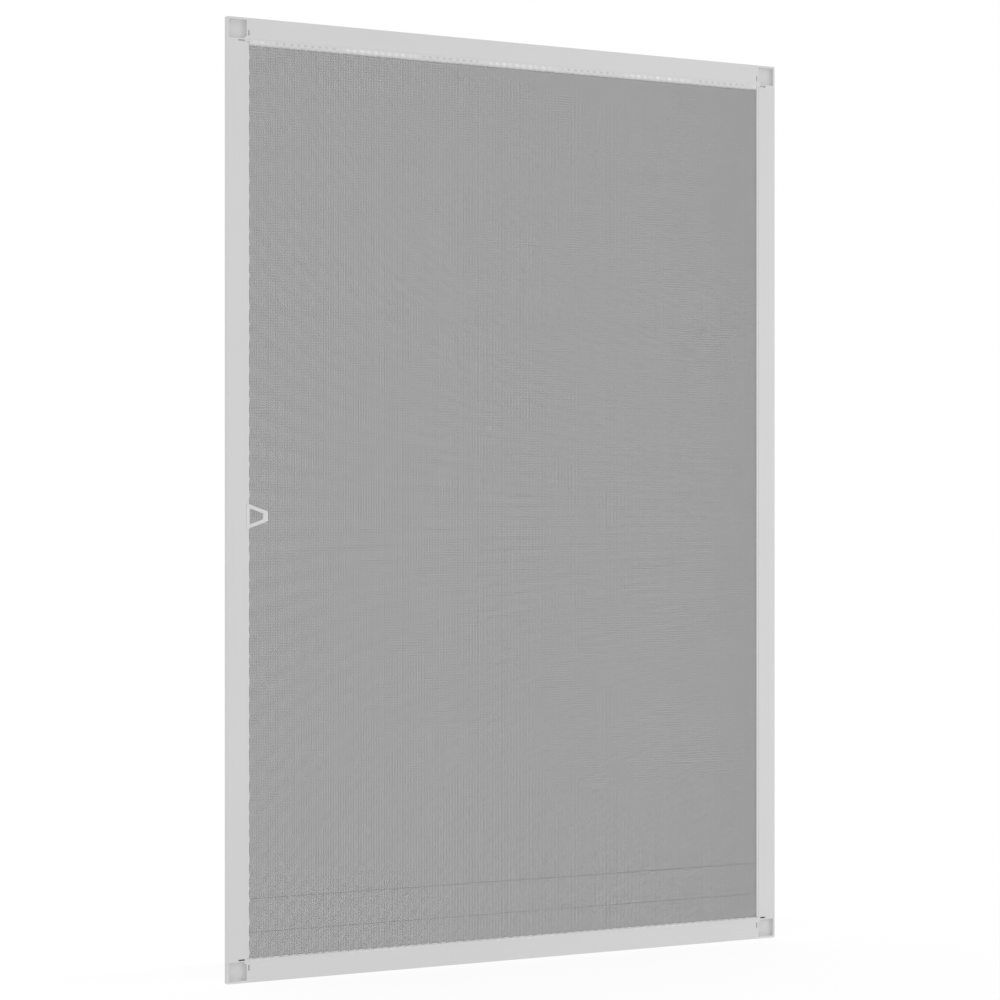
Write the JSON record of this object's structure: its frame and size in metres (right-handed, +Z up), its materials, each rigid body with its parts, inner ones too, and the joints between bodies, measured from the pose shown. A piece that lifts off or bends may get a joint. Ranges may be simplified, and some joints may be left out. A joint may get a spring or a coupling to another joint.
{
  "type": "window insect screen",
  "caption": "Slim rectangular window insect screen: hollow white frame with plug-in square corners, stretched grey mesh held in edge grooves by twisted strips, and a side pull loop.",
  "frame": {"origin": "middle of the bottom edge, at half the frame's depth", "axes": "+Z up along the stiles, +X to the right seen from the room, +Y from the room towards the window"},
  "size_m": [0.8, 0.008, 1.2],
  "materials": {
    "frame_white": "satin white powder coat",
    "corner_white": "matt white moulded plastic",
    "strip_white": "matt white soft plastic",
    "mesh_grey": "coated glass fibre yarn",
    "loop_white": "smooth white moulded plastic"
  },
  "bodies": {
    "root": {"left_stile": "frame_white", "right_stile": "frame_white", "top_rail": "frame_white", "bottom_rail": "frame_white", "bottom_left_corner": "corner_white", "bottom_right_corner": "corner_white", "top_right_corner": "corner_white", "top_left_corner": "corner_white", "left_strip": "strip_white", "right_strip": "strip_white", "top_strip": "strip_white", "bottom_strip": "strip_white", "screen_mesh": "mesh_grey", "pull_loop": "loop_white"}
  },
  "joints": []
}
